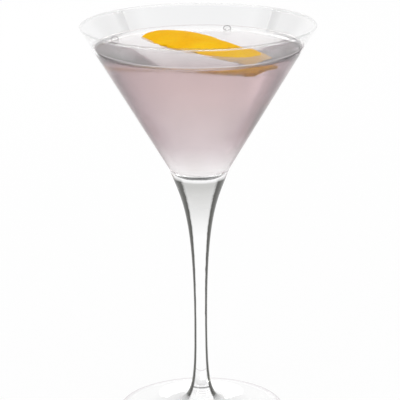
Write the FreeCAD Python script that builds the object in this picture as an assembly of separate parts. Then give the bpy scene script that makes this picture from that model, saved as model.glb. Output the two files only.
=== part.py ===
"""Eden cocktail: a pale pink drink in a stemmed cocktail glass, with a strip of citrus peel.

Millimetres, +Z up.  The origin is the centre of the foot's underside, on the table.
Nodes: glass (bowl, stem and foot are one piece), drink, citrus_twist.
"""
import FreeCAD, Part
import math
import os

from FreeCAD import Vector

# --- glass: overall sizes -------------------------------------------------------------
GLASS_HEIGHT = 181.4          # table to lip
RIM_RADIUS = 52.5             # outside of the lip
FOOT_RADIUS = 37.8            # outside of the foot's disc
WAIST_RADIUS = 2.95           # thinnest place of the stem
WAIST_HEIGHT = 42.0

# --- glass: bowl ----------------------------------------------------------------------
LIP_THICKNESS = 0.9           # fire-polished, so its top is a full round
BOWL_SLOPE = 0.598            # outside radius gained for each mm of height
BOWL_END_RADIUS = 13.6        # where the straight cone runs out into the trumpet
FLOOR_DROP = 3.2              # the inside's lowest point is this far below the cone's end
FLOOR_BALL_RADIUS = 14.0      # ball that rounds the inside's bottom

# --- glass: stem and foot -------------------------------------------------------------
TRUMPET_SLOPE = 0.36          # radius lost for each mm of height, just below the cone
TRUMPET_PULL = 0.2            # tangents of the stem's curves, as shares of their height
CALF_PULL = 0.72
ANKLE_PULL = 0.91
FLARE_RADIUS = 16.0           # where the stem has spread into the foot's top
FLARE_PULL = 0.86             # tangent of that spread, as a share of its width
FOOT_TOP_SLOPE = 0.12         # height lost for each mm outwards on the foot's top
FOOT_EDGE_THICKNESS = 1.5     # the edge is a full round
CONTACT_RING_WIDTH = 3.0      # flat ring that the glass stands on
FOOT_HOLLOW = 1.2             # depth of the dished underside at its middle

# --- drink ----------------------------------------------------------------------------
FILL_BELOW_LIP = 10.9         # lip to the flat surface of the drink
MENISCUS_RISE = 1.8           # the drink climbs the glass by this much
MENISCUS_WIDTH = 3.2
MENISCUS_TURN = 0.9           # distance from the glass where it turns level

# --- citrus twist: a strip cut with a peeler, afloat from back left to front right -------
PEEL_THICKNESS = 1.8          # rind and pith
PEEL_WIDTH = 25.0             # at its widest
PEEL_TIP_WIDTH = 3.0          # the pointed end, at the back left
PEEL_TAIL_WIDTH = 14.5        # the end that dips under, at the front right
PEEL_FULLNESS = 0.40          # below 1 the strip widens quickly from its ends
PEEL_CROWN = 17.0             # degrees; half the arc of a cross-section, rind outside
PEEL_TIP_GAP = 6.1            # from the ends of the centre line to the glass, at the surface
PEEL_TAIL_GAP = 7.2
PEEL_TIP_BEARING = 130.5      # degrees from +X round the glass's axis
PEEL_TAIL_BEARING = -43.3
PEEL_TIP_HEADING = -30.0      # degrees from +X that the centre line sets out on
PEEL_TAIL_HEADING = -39.0
PEEL_TIP_PULL = 0.37          # tangents of the centre line, as shares of its span
PEEL_TAIL_PULL = 0.56
PEEL_LIFTS = (0.1, 1.6, 0.2)     # edges' mid-line above the surface: tip, middle, tail
PEEL_ROLLS = (15.0, 2.0, 8.0)    # degrees that the far edge is raised: tip, middle, tail
PEEL_DIP = 2.4                # the tail's end bends down under the surface by this
PEEL_DIP_POWER = 6            # the higher, the nearer to the end that bend lies
PEEL_STATIONS = 11


# --- outlines and turning -------------------------------------------------------------
def point(radius, height):
    """A point of a turned outline."""
    return Vector(radius, 0.0, height)


def line(start, end):
    return Part.LineSegment(start, end).toShape()


def arc(start, middle, end):
    return Part.Arc(start, middle, end).toShape()


def bezier(*poles):
    """The curve that leaves its first pole and reaches its last, drawn by those between."""
    curve = Part.BezierCurve()
    curve.setPoles(list(poles))
    return curve


def turned(edges):
    """The solid that a closed outline sweeps round the Z axis."""
    face = Part.Face(Part.Wire(edges))
    return face.revolve(Vector(0, 0, 0), Vector(0, 0, 1), 360.0)


# --- the bowl's inside and outside walls -------------------------------------------------
def lip_height():
    """Height where the bowl's straight walls end and the round of the lip begins."""
    return GLASS_HEIGHT - LIP_THICKNESS / 2


def bowl_end():
    """Where the straight outside cone runs out into the trumpet of the stem."""
    drop = (RIM_RADIUS - BOWL_END_RADIUS) / BOWL_SLOPE
    return point(BOWL_END_RADIUS, lip_height() - drop)


def floor():
    """The inside's lowest point."""
    return point(0.0, bowl_end().z - FLOOR_DROP)


def inside_wall():
    """Top and bottom of the straight inside wall, which runs on into the floor's ball."""
    top = point(RIM_RADIUS - LIP_THICKNESS, lip_height())
    ball = floor() + point(0.0, FLOOR_BALL_RADIUS)
    span = top - ball
    angle = math.atan2(span.z, span.x) - math.acos(FLOOR_BALL_RADIUS / span.Length)
    bottom = ball + point(math.cos(angle), math.sin(angle)) * FLOOR_BALL_RADIUS
    return top, bottom


def floor_round():
    """The arc from the bottom of the inside wall down to the inside's lowest point."""
    _, wall_end = inside_wall()
    ball = floor() + point(0.0, FLOOR_BALL_RADIUS)
    halfway = (wall_end - ball).normalize() + Vector(0, 0, -1)
    middle = ball + halfway.normalize() * FLOOR_BALL_RADIUS
    return arc(wall_end, middle, floor())


def inside_radius(height):
    """Radius of the straight inside wall at a height."""
    top, bottom = inside_wall()
    return bottom.x + (top.x - bottom.x) * (height - bottom.z) / (top.z - bottom.z)


# --- glass ----------------------------------------------------------------------------
def flare():
    """Where the stem's spread meets the foot's sloping top."""
    rise = (FOOT_RADIUS - FOOT_EDGE_THICKNESS / 2 - FLARE_RADIUS) * FOOT_TOP_SLOPE
    return point(FLARE_RADIUS, FOOT_EDGE_THICKNESS + rise)


def underside_hollow():
    """The dish under the foot, a shallow cap of a ball, from the axis out."""
    reach = FOOT_RADIUS - FOOT_EDGE_THICKNESS / 2 - CONTACT_RING_WIDTH
    ball_radius = (reach ** 2 + FOOT_HOLLOW ** 2) / (2 * FOOT_HOLLOW)
    half_drop = ball_radius - math.sqrt(ball_radius ** 2 - (reach / 2) ** 2)
    halfway = point(reach / 2, FOOT_HOLLOW - half_drop)
    return arc(point(0.0, FOOT_HOLLOW), halfway, point(reach, 0.0))


def foot_outline():
    """Underside, rounded edge and sloping top of the foot."""
    half = FOOT_EDGE_THICKNESS / 2
    edge_under = point(FOOT_RADIUS - half, 0.0)
    edge_side = point(FOOT_RADIUS, half)
    edge_over = point(FOOT_RADIUS - half, FOOT_EDGE_THICKNESS)
    hollow = underside_hollow()
    return [
        hollow,
        line(hollow.Vertexes[-1].Point, edge_under),
        arc(edge_under, edge_side, edge_over),
        line(edge_over, flare()),
    ]


def stem_outline():
    """Foot to waist to bowl: two cubics that meet upright at the waist."""
    waist = point(WAIST_RADIUS, WAIST_HEIGHT)
    spread = flare()
    spread_reach = (spread.x - waist.x) * FLARE_PULL
    instep = spread + point(-spread_reach, spread_reach * FOOT_TOP_SLOPE)
    ankle = waist - point(0.0, (waist.z - spread.z) * ANKLE_PULL)
    trumpet_height = bowl_end().z - waist.z
    calf = waist + point(0.0, trumpet_height * CALF_PULL)
    throat = bowl_end() - point(TRUMPET_SLOPE, 1.0) * trumpet_height * TRUMPET_PULL
    return [
        bezier(spread, instep, ankle, waist).toShape(),
        bezier(waist, calf, throat, bowl_end()).toShape(),
    ]


def bowl_outline():
    """Outside cone, rounded lip, inside wall and floor."""
    top, bottom = inside_wall()
    outer_lip = point(RIM_RADIUS, lip_height())
    crest = point(RIM_RADIUS - LIP_THICKNESS / 2, GLASS_HEIGHT)
    return [
        line(bowl_end(), outer_lip),
        arc(outer_lip, crest, top),
        line(top, bottom),
        floor_round(),
    ]


def glass():
    axis = line(floor(), point(0.0, FOOT_HOLLOW))
    return turned(foot_outline() + stem_outline() + bowl_outline() + [axis])


# --- drink ----------------------------------------------------------------------------
def surface_height():
    """Height of the drink's flat surface."""
    return GLASS_HEIGHT - FILL_BELOW_LIP


def drink(twist):
    """What fills the bowl up to its surface, drawn up at the glass, less the floating peel."""
    level = surface_height()
    _, wall_bottom = inside_wall()
    contact = point(inside_radius(level + MENISCUS_RISE), level + MENISCUS_RISE)
    turn = point(contact.x - MENISCUS_TURN, level)
    meniscus_end = point(contact.x - MENISCUS_WIDTH, level)
    middle = point(0.0, level)
    body = turned([
        floor_round(),
        line(wall_bottom, contact),
        bezier(contact, turn, meniscus_end).toShape(),
        line(meniscus_end, middle),
        line(middle, floor()),
    ])
    return body.cut(twist)


# --- citrus twist ---------------------------------------------------------------------
def along(values, share):
    """A smooth change through a start, a middle and an end value."""
    start, middle, end = values
    start_part = start * (1 - share) * (1 - 2 * share)
    middle_part = 4 * middle * share * (1 - share)
    end_part = end * share * (2 * share - 1)
    return start_part + middle_part + end_part


def in_plan(bearing, distance):
    """A level vector."""
    angle = math.radians(bearing)
    return Vector(math.cos(angle), math.sin(angle), 0.0) * distance


def peel_spine():
    """The strip's centre line in plan, from its tip to its tail."""
    drink_radius = inside_radius(surface_height())
    tip = in_plan(PEEL_TIP_BEARING, drink_radius - PEEL_TIP_GAP)
    tail = in_plan(PEEL_TAIL_BEARING, drink_radius - PEEL_TAIL_GAP)
    span = (tail - tip).Length
    leaving = tip + in_plan(PEEL_TIP_HEADING, span * PEEL_TIP_PULL)
    arriving = tail - in_plan(PEEL_TAIL_HEADING, span * PEEL_TAIL_PULL)
    return bezier(tip, leaving, arriving, tail)


def peel_width(share):
    ends = PEEL_TIP_WIDTH + (PEEL_TAIL_WIDTH - PEEL_TIP_WIDTH) * share
    return ends + (PEEL_WIDTH - ends) * math.sin(math.pi * share) ** PEEL_FULLNESS


def peel_section(spine, share):
    """One crowned cross-section: rind arc, two cut sides, pith arc."""
    dip = PEEL_DIP * share ** PEEL_DIP_POWER
    lift = surface_height() + along(PEEL_LIFTS, share) - dip
    centre = spine.value(share) + Vector(0, 0, lift)
    heading = spine.tangent(share)[0]
    roll = math.radians(along(PEEL_ROLLS, share))
    level_side = Vector(-heading.y, heading.x, 0)
    side = level_side * math.cos(roll) + Vector(0, 0, 1) * math.sin(roll)
    outward = Vector(0, 0, 1) * math.cos(roll) - level_side * math.sin(roll)
    crown = math.radians(PEEL_CROWN)
    rind = peel_width(share) / 2 / math.sin(crown)
    pith = rind - PEEL_THICKNESS
    hub = centre - outward * rind * math.cos(crown)

    def at(angle, distance):
        return hub + (side * math.sin(angle) + outward * math.cos(angle)) * distance

    return Part.Wire([
        arc(at(-crown, rind), at(0.0, rind), at(crown, rind)),
        line(at(crown, rind), at(crown, pith)),
        arc(at(crown, pith), at(0.0, pith), at(-crown, pith)),
        line(at(-crown, pith), at(-crown, rind)),
    ])


def citrus_twist():
    """The strip, lofted through cross-sections along its centre line."""
    spine = peel_spine()
    shares = [station / (PEEL_STATIONS - 1) for station in range(PEEL_STATIONS)]
    sections = [peel_section(spine, share) for share in shares]
    return Part.makeLoft(sections, True, False)


# --- one file for each node -----------------------------------------------------------
def main():
    os.makedirs("parts", exist_ok=True)
    twist = citrus_twist()
    pieces = {
        "glass": glass(),
        "drink": drink(twist),
        "citrus_twist": twist,
    }
    for name, shape in pieces.items():
        shape.exportStep("parts/" + name + ".step")


main()
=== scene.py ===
"""Looks of the eden cocktail: its glass, its drink, the floating peel and the light round them.

Metres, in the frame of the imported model: +Z up, the glass's axis is Z, -Y faces the camera.
"""
import math

import bmesh
import bpy
from mathutils import Matrix, Vector, noise
from mathutils.bvhtree import BVHTree


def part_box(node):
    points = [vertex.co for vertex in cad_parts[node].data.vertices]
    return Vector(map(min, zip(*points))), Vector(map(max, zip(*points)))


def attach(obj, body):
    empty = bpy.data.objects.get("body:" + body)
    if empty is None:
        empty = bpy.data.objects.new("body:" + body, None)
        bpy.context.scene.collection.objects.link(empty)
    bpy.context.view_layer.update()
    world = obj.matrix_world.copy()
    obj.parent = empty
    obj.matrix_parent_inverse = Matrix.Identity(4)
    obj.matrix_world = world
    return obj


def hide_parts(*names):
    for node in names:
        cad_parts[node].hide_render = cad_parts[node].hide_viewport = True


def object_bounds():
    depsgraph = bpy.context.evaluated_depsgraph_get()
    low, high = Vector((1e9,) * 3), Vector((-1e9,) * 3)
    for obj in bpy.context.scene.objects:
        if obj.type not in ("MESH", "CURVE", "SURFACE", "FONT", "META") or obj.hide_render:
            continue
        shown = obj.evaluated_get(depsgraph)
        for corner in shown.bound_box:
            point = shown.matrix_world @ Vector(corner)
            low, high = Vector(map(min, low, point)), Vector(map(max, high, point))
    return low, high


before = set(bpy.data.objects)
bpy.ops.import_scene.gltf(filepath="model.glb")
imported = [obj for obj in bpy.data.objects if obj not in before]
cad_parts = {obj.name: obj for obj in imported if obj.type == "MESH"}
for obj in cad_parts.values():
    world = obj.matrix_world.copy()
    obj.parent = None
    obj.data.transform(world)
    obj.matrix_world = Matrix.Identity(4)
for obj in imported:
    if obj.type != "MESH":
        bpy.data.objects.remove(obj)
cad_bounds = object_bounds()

MM = 0.001

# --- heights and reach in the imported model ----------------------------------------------
BOWL_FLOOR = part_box("drink")[0].z
DRINK_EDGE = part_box("drink")[1].z        # where the drink ends on the glass
RIM_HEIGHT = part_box("glass")[1].z
FOOT_REACH = max(v.co.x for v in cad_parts["glass"].data.vertices if v.co.z < 2 * MM)


def flat_level():
    """Height of the drink's flat surface."""
    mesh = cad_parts["drink"].data
    flat = [f for f in mesh.polygons if f.normal.z > 0.9999]
    return max(flat, key=lambda f: f.area).center.z


DRINK_LEVEL = flat_level()

# --- camera ---------------------------------------------------------------------------
CAMERA_DISTANCE = 905 * MM       # level distance from the glass's axis
CAMERA_ELEVATION = math.radians(15.89)
CAMERA_ASIDE = 0.16 * MM
CAMERA_ROLL = -0.009
AIM_HEIGHT_SHARE = 0.556         # of the glass's height
LENS = 187.6
SENSOR = 36.0

# --- light ----------------------------------------------------------------------------
AMBIENT = 0.80                   # what the room adds to a matt surface
ZENITH = 0.75                    # brightness overhead, as glass reflects it
SOFTBOXES = (                    # bearing in degrees, height, size, power
    (-128.0, 0.42, (0.34, 0.75), 3.0),
    (-38.0, 0.38, (0.22, 0.70), 1.6),
    (100.0, 0.75, (0.60, 0.35), 2.2),
)
SOFTBOX_DISTANCE = 1.1
SOFTBOX_AIM_SHARE = 0.6          # of the glass's height
LIGHT_BOUNCES = 24               # light runs long ways inside a full glass
FLOOR_RADIUS = 12.0
FLOOR_TURNS = 64
FLOOR_WHITE = 0.95
FLOOR_SHOWN = 0.90               # share of plain white in what the camera sees of the floor

# --- glass ----------------------------------------------------------------------------
GLASS_IOR = 1.5
WALL_PRESENCE = 0.15             # how much the lip and the outline above the drink show
FAR_WALL_THINS = 0.30            # the wall seen from its inside thins, and takes its painted outline shade, this much sooner
COLLAR_HEIGHT = 12.2 * MM        # of the painted dark ring where the stem meets the foot
WHITE = (1.0, 1.0, 1.0)
# painted shade: faint grey on the glass above the drink
SHADED_UPPER_WALL = (0.90, 0.90, 0.905)
# painted shade: darker grey at the outline of the wall above the drink
WALL_OUTLINE_SHADE = (0.36, 0.36, 0.365)
UPPER_REFLECTION = (0.3, 0.3, 0.3)
# painted shade: grey on the trumpet below the bowl
TRUMPET_SHADE = (0.36, 0.36, 0.345)
# painted shade: grey arc at the foot's edge
FOOT_EDGE_SHADE = (0.80, 0.77, 0.785)
# painted shade: dark ring where the stem meets the foot
COLLAR_SHADE = (0.10, 0.10, 0.10)
# painted shade: near-black outline along the stem
STEM_OUTLINE_SHADE = (0.004, 0.004, 0.003)

# --- drink ----------------------------------------------------------------------------
DRINK_IOR = 1.34
DRINK_INTO_WALL = 0.15 * MM      # how far the drink reaches into the glass, so no air shows
DRINK_ABSORPTION = 6.0           # per metre
DRINK_TINT = (0.50, 0.285, 0.31)
LOW_SIDE = (0.66, 0.54, 0.57)    # tints where light's path goes into the drink
HIGH_SIDE = (0.60, 0.415, 0.41)
# painted shade: darker outline at the drink's sides
SIDE_OUTLINE_SHADE = (0.26, 0.16, 0.18)
# painted shade on the drink's top surface towards -Y, and the plain tint elsewhere
SURFACE_SHADE = (0.44, 0.33, 0.33)
PLAIN_SURFACE = (1.0, 0.99, 0.99)
# painted shade: dark ring low on the drink
ARC_SHADE = (0.01, 0.01, 0.01)
# painted highlight: a glowing line on a dark grey base where the drink meets the glass
PAINTED_HIGHLIGHT_GREY = (0.1, 0.1, 0.1)
PAINTED_HIGHLIGHT_GLOW = (0.95, 0.90, 0.90)
TOP_HAZE = 0.08
ARC_LOW = 0.35 * MM              # the painted dark ring round the drink's rounded bottom
ARC_HIGH = 1.9 * MM
ARC_SOFT = 0.2 * MM
PAINTED_HIGHLIGHT_BRIGHTNESS = 0.75
PAINTED_HIGHLIGHT_PRESENCE = 0.7              # of the painted highlight, a glowing line where the drink meets the glass
EDGE_PRESENCE = 0.25             # how much the thin edge that climbs the glass shows
SHADE_SIDE_Y = -36 * MM           # the drink's surface has painted shade towards -Y
PLAIN_SIDE_Y = 6 * MM
WALL_STEP = 1.2 * MM             # longest run of the drink's side between two rings
SURFACE_RINGS = 96
TURNS = 288
CLING_HEIGHT = 0.15 * MM         # the drink climbs the peel by this much
CLING_REACH = 0.9 * MM
RIPPLE = 0.004 * MM
RIPPLE_PITCH = 90.0              # per metre

# --- peel -----------------------------------------------------------------------------
PEEL_VOXEL = 0.42 * MM
PEEL_SMOOTHING = 3               # rounds, for the cut edges
RIND_FACES_UP = 0.42             # least upward share of the normal of a rind face
RIND_DEPTH = 1.30 * MM           # yellow layer over the pith
RIND_FADE = 0.35                 # of that depth, where yellow turns to pith
CLOUD_DEPTH = 0.9 * MM           # the cloudy drink hides what lies deeper
TAIL_DEPTH = 7.0 * MM            # nearer the tail's end more shows
TAIL_RUN = 14 * MM
TAIL_WRAP = 9 * MM               # near the tail's end the yellow layer goes right through
PORE_SPACING = 1.25 * MM
PORE_DEPTH = 0.10 * MM
PORE_SHARE = 0.32                # of the spacing, the radius of a pore
PEEL_UNEVEN = 0.25 * MM
UNEVEN_PITCH = 140.0             # per metre
CUT_DEPTH = 2.4 * MM             # notches along the cut edges
CUT_PITCH = 260.0                # per metre

# --- bubbles: bearing in degrees, distance from the axis, height over the level, radius ----
BUBBLES = (
    (151.5, 42.9 * MM, 0.35 * MM, 1.80 * MM),
    (72.0, 43.2 * MM, 0.70 * MM, 1.90 * MM),
)
BUBBLE_RISE = 0.85               # of its radius, over its widest part
BUBBLE_SAG = 0.38                # and under it
BUBBLE_STEPS = 8
BUBBLE_TURNS = 36
BUBBLE_CLEAR = 0.04              # presence of the skin where it faces the eye
BUBBLE_DARK = 0.85               # and at its outline, where the skin's grey shows as painted shade


# --- small helpers --------------------------------------------------------------------
def new_piece(name, verts, faces, material, smooth=True):
    """A mesh object in the scene."""
    mesh = bpy.data.meshes.new(name)
    mesh.from_pydata([tuple(v) for v in verts], [], faces)
    mesh.validate()
    mesh.update()
    for polygon in mesh.polygons:
        polygon.use_smooth = smooth
    piece = bpy.data.objects.new(name, mesh)
    bpy.context.collection.objects.link(piece)
    mesh.materials.append(material)
    return piece


def polar(bearing, radius, height):
    angle = math.radians(bearing)
    return Vector((math.cos(angle) * radius, math.sin(angle) * radius, height))


class Nodes:
    """A material's node tree with short calls for adding and joining nodes."""

    def __init__(self, tree):
        self.tree = tree

    def add(self, kind, **values):
        node = self.tree.nodes.new(kind)
        for key, value in values.items():
            setattr(node, key, value)
        return node

    def join(self, source, target):
        self.tree.links.new(source, target)


def new_material(name):
    material = bpy.data.materials.new(name)
    material.use_nodes = True
    nodes = Nodes(material.node_tree)
    shader = material.node_tree.nodes["Principled BSDF"]
    output = material.node_tree.nodes["Material Output"]
    return material, nodes, shader, output


def object_noise(nodes, scale, detail, low=0.3, high=0.7, out_low=0.0, out_high=1.0):
    """Noise in object space, so it keeps its size on every piece, mapped to a range."""
    place = nodes.add("ShaderNodeTexCoord")
    texture = nodes.add("ShaderNodeTexNoise")
    texture.inputs["Scale"].default_value = scale
    texture.inputs["Detail"].default_value = detail
    nodes.join(place.outputs["Object"], texture.inputs["Vector"])
    return spread(nodes, texture.outputs["Fac"], low, high, out_low, out_high)


def spread(nodes, source, low, high, out_low, out_high):
    """Maps a grey from one range to another."""
    node = nodes.add("ShaderNodeMapRange")
    node.inputs["From Min"].default_value = low
    node.inputs["From Max"].default_value = high
    node.inputs["To Min"].default_value = out_low
    node.inputs["To Max"].default_value = out_high
    nodes.join(source, node.inputs["Value"])
    return node.outputs["Result"]


def rising(nodes, source, low, high):
    return spread(nodes, source, low, high, 0.0, 1.0)


def falling(nodes, source, low, high):
    return spread(nodes, source, low, high, 1.0, 0.0)


def combined(nodes, operation, first, second):
    node = nodes.add("ShaderNodeMath", operation=operation)
    nodes.join(first, node.inputs[0])
    nodes.join(second, node.inputs[1])
    return node.outputs["Value"]


def product(nodes, *sources):
    """Several greys multiplied together."""
    result = sources[0]
    for source in sources[1:]:
        result = combined(nodes, "MULTIPLY", result, source)
    return result


def total(nodes, first, second):
    return combined(nodes, "ADD", first, second)


def larger(nodes, first, second):
    return combined(nodes, "MAXIMUM", first, second)


def object_place(nodes):
    """The X, Y and Z of the object's own frame."""
    place = nodes.add("ShaderNodeTexCoord")
    split = nodes.add("ShaderNodeSeparateXYZ")
    nodes.join(place.outputs["Object"], split.inputs["Vector"])
    return split.outputs


def distance_from_axis(nodes):
    place = nodes.add("ShaderNodeTexCoord")
    flat = nodes.add("ShaderNodeVectorMath", operation="MULTIPLY")
    flat.inputs[1].default_value = (1.0, 1.0, 0.0)
    length = nodes.add("ShaderNodeVectorMath", operation="LENGTH")
    nodes.join(place.outputs["Object"], flat.inputs[0])
    nodes.join(flat.outputs["Vector"], length.inputs[0])
    return length.outputs["Value"]


def entering(nodes):
    """1 where light's path, followed from the eye, goes into a piece, 0 where it comes out."""
    geometry = nodes.add("ShaderNodeNewGeometry")
    return falling(nodes, geometry.outputs["Backfacing"], 0.0, 1.0)


def facing_up(nodes):
    """The upward share of the normal on the side that is seen."""
    geometry = nodes.add("ShaderNodeNewGeometry")
    split = nodes.add("ShaderNodeSeparateXYZ")
    nodes.join(geometry.outputs["Normal"], split.inputs["Vector"])
    return split.outputs["Z"]


def turned_away(nodes):
    """0 where a surface faces the eye, 1 at its outline."""
    facing = nodes.add("ShaderNodeLayerWeight")
    facing.inputs["Blend"].default_value = 0.5
    return facing.outputs["Facing"]


def blend(nodes, factor, low, high, blend_type="MIX"):
    """A colour between two, each a socket or a plain colour, by a grey or a number."""
    node = nodes.add("ShaderNodeMix", data_type="RGBA", blend_type=blend_type)
    if isinstance(factor, float):
        node.inputs[0].default_value = factor
    else:
        nodes.join(factor, node.inputs[0])
    for index, colour in ((6, low), (7, high)):
        if isinstance(colour, tuple):
            node.inputs[index].default_value = (*colour, 1.0)
        else:
            nodes.join(colour, node.inputs[index])
    return node.outputs[2]


def add_bump(nodes, shader, source, strength, distance):
    bump = nodes.add("ShaderNodeBump")
    bump.inputs["Strength"].default_value = strength
    bump.inputs["Distance"].default_value = distance
    nodes.join(source, bump.inputs["Height"])
    nodes.join(bump.outputs["Normal"], shader.inputs["Normal"])


# --- materials ------------------------------------------------------------------------
def glass_tone(nodes, height, facing, slant, above_drink):
    """The glass's colour, with painted shade: faint greys above the drink, darker at that wall's
    outline, greys on the trumpet and the foot's edge, a dark ring above the foot, and a dark outline
    along the stem and its trumpet.
    """
    into = entering(nodes)
    # painted shade: faint grey on the wall above the drink
    body = blend(nodes, above_drink, WHITE, SHADED_UPPER_WALL)
    # painted shade: darker grey where the wall above the drink turns away
    body = blend(nodes, product(nodes, above_drink, rising(nodes, slant, 0.48, 0.64)),
                 body, WALL_OUTLINE_SHADE)
    # painted shade: grey on the trumpet below the bowl, where light's path goes in
    trumpet = product(nodes, into, falling(nodes, height, BOWL_FLOOR - 1.2 * MM, BOWL_FLOOR),
                      rising(nodes, height, BOWL_FLOOR - 28 * MM, BOWL_FLOOR - 3 * MM))
    body = blend(nodes, trumpet, body, TRUMPET_SHADE)
    reach = distance_from_axis(nodes)
    # painted shade: grey arc at the foot's edge
    foot_edge = product(nodes, falling(nodes, height, 2.5 * MM, 3.5 * MM),
                        rising(nodes, reach, FOOT_REACH - 3.2 * MM, FOOT_REACH - 1.6 * MM))
    body = blend(nodes, foot_edge, body, FOOT_EDGE_SHADE)
    # painted shade: dark ring where the stem meets the foot
    collar = product(
        nodes, into,
        rising(nodes, height, COLLAR_HEIGHT - 0.5 * MM, COLLAR_HEIGHT - 0.2 * MM),
        falling(nodes, height, COLLAR_HEIGHT + 0.2 * MM, COLLAR_HEIGHT + 0.5 * MM))
    body = blend(nodes, collar, body, COLLAR_SHADE)
    # painted shade: near-black outline where the stem turns away
    below_bowl = falling(nodes, height, BOWL_FLOOR - 1.0 * MM, BOWL_FLOOR + 1.0 * MM)
    above_foot = rising(nodes, height, 3 * MM, 8 * MM)
    flared = spread(nodes, height, BOWL_FLOOR - 25 * MM, BOWL_FLOOR - 5 * MM, 0.0, -0.11)
    outline = rising(nodes, total(nodes, facing, flared), 0.26, 0.34)
    stem_edge_shade = product(nodes, into, outline, below_bowl, above_foot)
    return blend(nodes, stem_edge_shade, body, STEM_OUTLINE_SHADE)


def glass_material():
    """Clear drawn glass: thin and faint above the drink, dark along the stem's outline; its colour
    holds painted shade: greys above the drink and on the trumpet and foot, a dark ring above the foot
    and the stem's dark outline.
    """
    material, nodes, shader, _ = new_material("clear_glass")
    shader.inputs["Transmission Weight"].default_value = 1.0
    shader.inputs["IOR"].default_value = GLASS_IOR
    height = object_place(nodes)["Z"]
    facing = turned_away(nodes)
    above_drink = rising(nodes, height, DRINK_LEVEL, DRINK_EDGE)
    lip = rising(nodes, height, RIM_HEIGHT - 1.4 * MM, RIM_HEIGHT - 0.7 * MM)
    far_wall = spread(nodes, facing_up(nodes), -0.1, 0.1, 0.0, FAR_WALL_THINS)
    slant = total(nodes, facing, far_wall)
    nodes.join(glass_tone(nodes, height, facing, slant, above_drink), shader.inputs["Base Color"])
    nodes.join(blend(nodes, above_drink, WHITE, UPPER_REFLECTION), shader.inputs["Specular Tint"])
    thin = product(nodes, above_drink, larger(nodes, lip, rising(nodes, slant, 0.40, 0.62)))
    nodes.join(spread(nodes, thin, 0.0, 1.0, 1.0, WALL_PRESENCE), shader.inputs["Alpha"])
    smears = object_noise(nodes, 60.0, 4.0, 0.35, 0.75, 0.0, 0.025)
    nodes.join(total(nodes, smears, spread(nodes, lip, 0.0, 1.0, 0.0, 0.5)),
               shader.inputs["Roughness"])
    waves = object_noise(nodes, 28.0, 1.0, 0.0, 1.0)
    add_bump(nodes, shader, waves, 0.05, 0.2 * MM)
    return material


def drink_tone(nodes, height, painted_highlight):
    """The drink's tints where light's path goes into it: by height, with painted shade at its side
    outline, on its surface towards -Y and in a dark ring low down, and the dark grey base of a painted
    highlight line.
    """
    into = entering(nodes)
    wall = falling(nodes, facing_up(nodes), -0.2, 0.1)
    low = product(nodes, rising(nodes, height, BOWL_FLOOR + 3 * MM, BOWL_FLOOR + 18 * MM), into)
    high = product(nodes, rising(nodes, height, BOWL_FLOOR + 18 * MM, BOWL_FLOOR + 48 * MM), into)
    body = blend(nodes, high, blend(nodes, low, WHITE, LOW_SIDE), HIGH_SIDE)
    climbing = rising(nodes, height, DRINK_LEVEL + 0.05 * MM, DRINK_LEVEL + 0.3 * MM)
    # where this is 0 the top surface gets painted shade, towards -Y
    clear = larger(nodes, climbing,
                   rising(nodes, object_place(nodes)["Y"], SHADE_SIDE_Y, PLAIN_SIDE_Y))
    surface = blend(nodes, clear, SURFACE_SHADE, PLAIN_SURFACE)
    body = blend(nodes, larger(nodes, wall, falling(nodes, into, 0.0, 1.0)), surface, body)
    above_floor = rising(nodes, height, BOWL_FLOOR + 6 * MM, BOWL_FLOOR + 24 * MM)
    # painted shade: darker outline where the drink's side turns away
    outline = product(nodes, rising(nodes, turned_away(nodes), 0.135, 0.24),
                      wall, into, above_floor)
    body = blend(nodes, outline, body, SIDE_OUTLINE_SHADE)
    # painted shade: a dark ring low on the drink
    arc = product(
        nodes, into,
        rising(nodes, height, BOWL_FLOOR + ARC_LOW, BOWL_FLOOR + ARC_LOW + ARC_SOFT),
        falling(nodes, height, BOWL_FLOOR + ARC_HIGH, BOWL_FLOOR + ARC_HIGH + ARC_SOFT))
    # the painted highlight line gets a dark grey base
    return blend(nodes, painted_highlight, blend(nodes, arc, body, ARC_SHADE), PAINTED_HIGHLIGHT_GREY)


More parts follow.
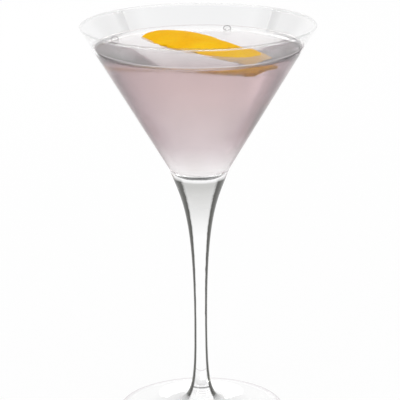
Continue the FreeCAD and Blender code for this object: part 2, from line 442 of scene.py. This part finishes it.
def drink_material():
    """Cloudy pale pink liquid: smooth on top, hazy against the glass, with a glowing line where it
    meets the glass, a painted highlight.
    """
    material, nodes, shader, output = new_material("pink_drink")
    shader.inputs["Transmission Weight"].default_value = 1.0
    shader.inputs["IOR"].default_value = DRINK_IOR
    height = object_place(nodes)["Z"]
    side = falling(nodes, facing_up(nodes), 0.4, 0.8)
    haze = object_noise(nodes, 45.0, 3.0, 0.3, 0.7, 0.16, 0.24)
    clearer = spread(nodes, height, BOWL_FLOOR + 4 * MM, BOWL_FLOOR + 16 * MM, 0.4, 1.0)
    rough = total(nodes, product(nodes, side, haze, clearer),
                  spread(nodes, side, 0.0, 1.0, TOP_HAZE, 0.0))
    nodes.join(rough, shader.inputs["Roughness"])
    # painted highlight: a line that glows where the drink meets the glass
    painted_highlight = rising(nodes, height, DRINK_EDGE - 0.5 * MM, DRINK_EDGE - 0.3 * MM)
    nodes.join(drink_tone(nodes, height, painted_highlight), shader.inputs["Base Color"])
    shader.inputs["Emission Color"].default_value = (*PAINTED_HIGHLIGHT_GLOW, 1.0)
    nodes.join(spread(nodes, painted_highlight, 0.0, 1.0, 0.0, PAINTED_HIGHLIGHT_BRIGHTNESS),
               shader.inputs["Emission Strength"])
    nodes.join(falling(nodes, painted_highlight, 0.0, 1.0), shader.inputs["Transmission Weight"])
    climb = spread(nodes, height, DRINK_LEVEL + 0.2 * MM, DRINK_LEVEL + 0.8 * MM,
                   1.0, EDGE_PRESENCE)
    painted_highlight_shows = spread(nodes, painted_highlight, 0.0, 1.0, 0.0, PAINTED_HIGHLIGHT_PRESENCE)
    nodes.join(larger(nodes, climb, painted_highlight_shows), shader.inputs["Alpha"])
    volume = nodes.add("ShaderNodeVolumeAbsorption")
    volume.inputs["Color"].default_value = (*DRINK_TINT, 1.0)
    volume.inputs["Density"].default_value = DRINK_ABSORPTION
    nodes.join(volume.outputs["Volume"], output.inputs["Volume"])
    return material


def rind_material():
    """Waxy yellow rind with darker pores, and pale pith where the strip is cut."""
    material, nodes, shader, _ = new_material("citrus_peel")
    layer = nodes.add("ShaderNodeAttribute", attribute_name="rind")
    yellow = blend(nodes, object_noise(nodes, 70.0, 3.0), (0.98, 0.485, 0.006), (1.0, 0.60, 0.012))
    pith = blend(nodes, object_noise(nodes, 900.0, 2.0), (0.90, 0.80, 0.62), (0.95, 0.88, 0.72))
    pores = nodes.add("ShaderNodeTexVoronoi", feature="F1")
    pores.inputs["Scale"].default_value = 1.0 / PORE_SPACING
    place = nodes.add("ShaderNodeTexCoord")
    nodes.join(place.outputs["Object"], pores.inputs["Vector"])
    pit = spread(nodes, pores.outputs["Distance"], 0.0, 0.45, 0.86, 1.0)
    shaded = blend(nodes, 1.0, yellow, pit, "MULTIPLY")
    nodes.join(blend(nodes, layer.outputs["Fac"], pith, shaded), shader.inputs["Base Color"])
    nodes.join(spread(nodes, layer.outputs["Fac"], 0.0, 1.0, 0.75, 0.38),
               shader.inputs["Roughness"])
    shader.inputs["IOR"].default_value = 1.02
    shown = nodes.add("ShaderNodeAttribute", attribute_name="shown")
    nodes.join(shown.outputs["Fac"], shader.inputs["Alpha"])
    add_bump(nodes, shader, pores.outputs["Distance"], 0.5, 0.12 * MM)
    return material


def film_material():
    """The thin skin of a bubble: clear where it faces the eye, grey at its outline, a painted shade."""
    material, nodes, shader, _ = new_material("bubble_film")
    nodes.join(spread(nodes, turned_away(nodes), 0.35, 0.75, BUBBLE_CLEAR, BUBBLE_DARK),
               shader.inputs["Alpha"])
    # painted shade: the skin's grey, shown mostly at its outline
    nodes.join(blend(nodes, object_noise(nodes, 1200.0, 1.0), (0.22, 0.22, 0.22), (0.30, 0.30, 0.30)),
               shader.inputs["Base Color"])
    nodes.join(object_noise(nodes, 1200.0, 1.0, 0.3, 0.7, 0.1, 0.2), shader.inputs["Roughness"])
    return material


# --- the drink's body -------------------------------------------------------------------
def seam_outline(node):
    """(radius, height) points on a turned CAD node's seam, each with the points it joins."""
    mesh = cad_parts[node].data
    on_seam = {}
    for vertex in mesh.vertices:
        if abs(vertex.co.y) < 1e-6 and vertex.co.x > -1e-6:
            on_seam[vertex.index] = (round(vertex.co.x, 6), round(vertex.co.z, 6))
    links = {}
    for edge in mesh.edges:
        a, b = edge.vertices
        if a in on_seam and b in on_seam and on_seam[a] != on_seam[b]:
            links.setdefault(on_seam[a], set()).add(on_seam[b])
            links.setdefault(on_seam[b], set()).add(on_seam[a])
    return links


def wall_outline():
    """The glass's inside, from its lowest point up to the drink's edge."""
    links = seam_outline("glass")
    top = DRINK_EDGE
    here = min((p for p in links if p[0] < 1e-6), key=lambda p: abs(p[1] - BOWL_FLOOR))
    outline = [here]
    seen = {here}
    while True:
        steps = [p for p in links[here] if p not in seen and p[0] > here[0]]
        if not steps:
            break
        here = min(steps, key=lambda p: math.dist(p, outline[-1]))
        seen.add(here)
        if here[1] >= top:
            last = outline[-1]
            share = (top - last[1]) / (here[1] - last[1])
            outline.append((last[0] + (here[0] - last[0]) * share, top))
            break
        outline.append(here)
    return outline


def grown(outline, distance):
    """The outline moved outwards by a distance."""
    moved = []
    for index, (radius, height) in enumerate(outline):
        before = outline[max(index - 1, 0)]
        after = outline[min(index + 1, len(outline) - 1)]
        run = Vector((after[0] - before[0], after[1] - before[1])).normalized()
        if index == 0:
            run = Vector((1.0, 0.0))
        moved.append((radius + run.y * distance, height - run.x * distance))
    return moved


def subdivided(outline, step):
    """The outline with its long straight runs cut into short ones."""
    points = [outline[0]]
    for start, end in zip(outline, outline[1:]):
        pieces = max(1, math.ceil(math.dist(start, end) / step))
        for index in range(1, pieces + 1):
            share = index / pieces
            points.append((start[0] + (end[0] - start[0]) * share,
                           start[1] + (end[1] - start[1]) * share))
    return points


def meniscus_outline():
    """The CAD drink's curved edge, from the glass in to the flat surface."""
    half_reach = 0.5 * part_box("drink")[1].x
    points = [p for p in seam_outline("drink") if p[1] > DRINK_LEVEL - 1e-6 and p[0] > half_reach]
    return sorted(points, key=lambda p: -p[0])


def peel_tree(peel):
    """A search tree over the peel's surface."""
    return BVHTree.FromPolygons([v.co for v in peel.data.vertices],
                                [p.vertices[:] for p in peel.data.polygons])


def cling(tree, place):
    """How far the drink is drawn up at a place beside the peel."""
    _, _, _, distance = tree.find_nearest(Vector((place.x, place.y, DRINK_LEVEL)))
    ripple = noise.noise(place * RIPPLE_PITCH) * RIPPLE
    return CLING_HEIGHT * math.exp(-distance / CLING_REACH) + ripple


def make_drink(material, peel):
    """One closed skin: wall, meniscus and a surface that clings to the peel."""
    wall = subdivided(grown(wall_outline(), DRINK_INTO_WALL), WALL_STEP)
    edge = meniscus_outline()
    edge[0] = wall[-1]
    level = DRINK_LEVEL
    inner_radius = edge[-1][0]
    rings = wall[1:] + edge[1:]
    flat_start = len(rings) - 1
    for index in range(1, SURFACE_RINGS):
        share = 1.0 - index / SURFACE_RINGS
        rings.append((inner_radius * share, level))
    tree = peel_tree(peel)
    verts = [Vector((0.0, 0.0, wall[0][1]))]
    for index, (radius, height) in enumerate(rings):
        for turn in range(TURNS):
            place = polar(360.0 * turn / TURNS, radius, height)
            if index >= flat_start:
                place.z += cling(tree, place)
            verts.append(place)
    centre = Vector((0.0, 0.0, level))
    centre.z += cling(tree, centre)
    verts.append(centre)
    faces = []
    for turn in range(TURNS):
        after = (turn + 1) % TURNS
        faces.append((0, 1 + after, 1 + turn))
        for ring in range(len(rings) - 1):
            low = 1 + ring * TURNS
            faces.append((low + turn, low + after, low + TURNS + after, low + TURNS + turn))
        last = 1 + (len(rings) - 1) * TURNS
        faces.append((last + turn, last + after, len(verts) - 1))
    drink = new_piece("drink_fill", verts, faces, material)
    mesh = bmesh.new()
    mesh.from_mesh(drink.data)
    bmesh.ops.recalc_face_normals(mesh, faces=mesh.faces)
    mesh.to_mesh(drink.data)
    mesh.free()
    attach(drink, "root")
    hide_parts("drink")


# --- the peel's body --------------------------------------------------------------------
def rind_tree():
    """A search tree over the outer, crowned faces of the CAD strip, which look up."""
    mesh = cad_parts["citrus_twist"].data
    faces = [p.vertices[:] for p in mesh.polygons if p.normal.z > RIND_FACES_UP]
    return BVHTree.FromPolygons([v.co for v in mesh.vertices], faces)


def make_peel(material):
    """The CAD strip with rounded cut edges, an uneven cut and pitted rind."""
    peel = bpy.data.objects.new("peel_strip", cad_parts["citrus_twist"].data.copy())
    bpy.context.collection.objects.link(peel)
    remesh = peel.modifiers.new("even", "REMESH")
    remesh.mode = "VOXEL"
    remesh.voxel_size = PEEL_VOXEL
    remesh.use_smooth_shade = True
    smooth = peel.modifiers.new("round", "SMOOTH")
    smooth.factor = 0.5
    smooth.iterations = PEEL_SMOOTHING
    graph = bpy.context.evaluated_depsgraph_get()
    peel.data = bpy.data.meshes.new_from_object(peel.evaluated_get(graph))
    peel.modifiers.clear()
    tree = rind_tree()
    layer = peel.data.attributes.new("rind", "FLOAT", "POINT")
    shown = peel.data.attributes.new("shown", "FLOAT", "POINT")
    normals = [v.normal.copy() for v in peel.data.vertices]
    tail_end = max(v.co.x - v.co.y for v in peel.data.vertices)
    for vertex, normal in zip(peel.data.vertices, normals):
        _, _, _, depth = tree.find_nearest(vertex.co)
        tail = max(0.0, 1.0 - (tail_end - vertex.co.x + vertex.co.y) / TAIL_WRAP)
        along = min(max((vertex.co.x - vertex.co.y) / TAIL_RUN, 0.0), 1.0)
        under = (DRINK_LEVEL - vertex.co.z) / (CLOUD_DEPTH + along * (TAIL_DEPTH - CLOUD_DEPTH))
        shown.data[vertex.index].value = min(max(1.0 - under + tail, 0.0), 1.0)
        depth -= tail * RIND_DEPTH
        share = min(max((RIND_DEPTH - depth) / (RIND_FADE * RIND_DEPTH) + 0.5, 0.0), 1.0)
        layer.data[vertex.index].value = share
        cut = min(max(1.5 - 1.6 * abs(normal.z), 0.0), 1.0)    # 1 on the upright cut edges
        notch = noise.noise(vertex.co * CUT_PITCH) + 0.6 * noise.noise(vertex.co * 2.3 * CUT_PITCH)
        uneven = noise.noise(vertex.co * UNEVEN_PITCH) * PEEL_UNEVEN - cut * CUT_DEPTH * max(0.0, notch)
        pit, _ = noise.voronoi(vertex.co / PORE_SPACING)
        pores = -max(0.0, PORE_SHARE - pit[0]) / PORE_SHARE * PORE_DEPTH * share
        vertex.co += normal * (min(uneven, 0.0) + pores)
    peel.data.materials.clear()
    peel.data.materials.append(material)
    for polygon in peel.data.polygons:
        polygon.use_smooth = True
    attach(peel, "root")
    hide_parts("citrus_twist")
    return peel


# --- the bubbles' bodies ----------------------------------------------------------------
def make_bubble(index, bearing, distance, rise, radius, material):
    """A closed dome with a shallow underside that floats by the glass."""
    centre = polar(bearing, distance, DRINK_LEVEL + rise)
    steps, turns = BUBBLE_STEPS, BUBBLE_TURNS
    verts = [centre - Vector((0.0, 0.0, radius * BUBBLE_SAG))]
    for step in range(1 - steps, steps):
        angle = 0.5 * math.pi * step / steps
        share = BUBBLE_RISE if step > 0 else BUBBLE_SAG
        for turn in range(turns):
            verts.append(centre + polar(360.0 * turn / turns, radius * math.cos(angle),
                                        radius * share * math.sin(angle)))
    verts.append(centre + Vector((0.0, 0.0, radius * BUBBLE_RISE)))
    faces = []
    rows = 2 * steps - 1
    for turn in range(turns):
        after = (turn + 1) % turns
        faces.append((0, 1 + after, 1 + turn))
        for row in range(rows - 1):
            low = 1 + row * turns
            faces.append((low + turn, low + after, low + turns + after, low + turns + turn))
        last = 1 + (rows - 1) * turns
        faces.append((last + turn, last + after, len(verts) - 1))
    bubble = new_piece(f"bubble_{index}", verts, faces, material)
    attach(bubble, "root")


# --- stage ----------------------------------------------------------------------------
def floor_material():
    """White, with the object's shadow, and mostly plain white to the camera and the glass."""
    material, nodes, shader, output = new_material("floor_white")
    shader.inputs["Base Color"].default_value = (FLOOR_WHITE, FLOOR_WHITE, FLOOR_WHITE, 1.0)
    shader.inputs["Roughness"].default_value = 0.9
    shader.inputs["Specular IOR Level"].default_value = 0.0
    seen = seen_by_eye_or_glass(nodes)
    share = spread(nodes, seen, 0.0, 1.0, 0.0, FLOOR_SHOWN)
    plain = nodes.add("ShaderNodeEmission")
    mix = nodes.add("ShaderNodeMixShader")
    nodes.join(share, mix.inputs[0])
    nodes.join(shader.outputs["BSDF"], mix.inputs[1])
    nodes.join(plain.outputs["Emission"], mix.inputs[2])
    nodes.join(mix.outputs["Shader"], output.inputs["Surface"])
    return material


def seen_by_eye_or_glass(nodes):
    """1 for camera, glossy and transmission rays, 0 for the light on matt surfaces."""
    path = nodes.add("ShaderNodeLightPath").outputs
    mirrored = larger(nodes, path["Is Camera Ray"], path["Is Glossy Ray"])
    return larger(nodes, mirrored, path["Is Transmission Ray"])


def make_floor():
    verts = [Vector((0.0, 0.0, 0.0))]
    for turn in range(FLOOR_TURNS):
        verts.append(polar(360.0 * turn / FLOOR_TURNS, FLOOR_RADIUS, 0.0))
    faces = [(0, 1 + turn, 1 + (turn + 1) % FLOOR_TURNS) for turn in range(FLOOR_TURNS)]
    new_piece("floor", verts, faces, floor_material(), False)


def make_world():
    """White to the camera; glass sees it white to the sides and greyer overhead."""
    world = bpy.data.worlds.new("studio")
    world.use_nodes = True
    bpy.context.scene.world = world
    nodes = Nodes(world.node_tree)
    background = world.node_tree.nodes["Background"]
    background.inputs["Color"].default_value = (1.0, 1.0, 1.0, 1.0)
    place = nodes.add("ShaderNodeTexCoord")
    split = nodes.add("ShaderNodeSeparateXYZ")
    nodes.join(place.outputs["Generated"], split.inputs["Vector"])
    dome = spread(nodes, split.outputs["Z"], 0.35, 0.95, 1.0, ZENITH)
    path = nodes.add("ShaderNodeLightPath")
    direct = nodes.add("ShaderNodeMix", data_type="FLOAT")
    nodes.join(path.outputs["Is Camera Ray"], direct.inputs[0])
    nodes.join(dome, direct.inputs[2])
    direct.inputs[3].default_value = 1.0
    strength = nodes.add("ShaderNodeMix", data_type="FLOAT")
    strength.inputs[2].default_value = AMBIENT
    nodes.join(seen_by_eye_or_glass(nodes), strength.inputs[0])
    nodes.join(direct.outputs[0], strength.inputs[3])
    nodes.join(strength.outputs[0], background.inputs["Strength"])


def make_softboxes():
    aim = Vector((0.0, 0.0, SOFTBOX_AIM_SHARE * cad_bounds[1][2]))
    for index, (bearing, height, size, power) in enumerate(SOFTBOXES):
        lamp = bpy.data.lights.new(f"softbox_{index}", "AREA")
        lamp.shape = "RECTANGLE"
        lamp.size, lamp.size_y = size
        lamp.energy = power
        holder = bpy.data.objects.new(f"softbox_{index}", lamp)
        holder.location = polar(bearing, SOFTBOX_DISTANCE, height)
        holder.rotation_euler = (aim - holder.location).to_track_quat("-Z", "Y").to_euler()
        bpy.context.collection.objects.link(holder)


def make_camera():
    aim = Vector((CAMERA_ASIDE, 0.0, AIM_HEIGHT_SHARE * cad_bounds[1][2]))
    back = Vector((0.0, -CAMERA_DISTANCE, CAMERA_DISTANCE * math.tan(CAMERA_ELEVATION)))
    data = bpy.data.cameras.new("camera")
    data.sensor_width = SENSOR
    data.lens = LENS
    data.clip_start = 0.05
    data.clip_end = 60.0
    camera = bpy.data.objects.new("camera", data)
    turn = (-back).to_track_quat("-Z", "Y").to_matrix() @ Matrix.Rotation(CAMERA_ROLL, 3, "Z")
    camera.matrix_world = Matrix.Translation(aim + back) @ turn.to_4x4()
    bpy.context.collection.objects.link(camera)
    bpy.context.scene.camera = camera


# --- the scene ------------------------------------------------------------------------
make_camera()
make_world()
make_floor()
make_softboxes()

glass_look = glass_material()
glass_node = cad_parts["glass"]
for slot in glass_node.material_slots:
    slot.material = glass_look

peel_piece = make_peel(rind_material())
make_drink(drink_material(), peel_piece)
film = film_material()
for bubble_index, (bearing, distance, rise, radius) in enumerate(BUBBLES):
    make_bubble(bubble_index, bearing, distance, rise, radius, film)

bpy.context.scene.view_settings.view_transform = "Standard"
bpy.context.scene.cycles.max_bounces = LIGHT_BOUNCES
bpy.context.scene.cycles.transmission_bounces = LIGHT_BOUNCES
bpy.context.scene.cycles.glossy_bounces = LIGHT_BOUNCES
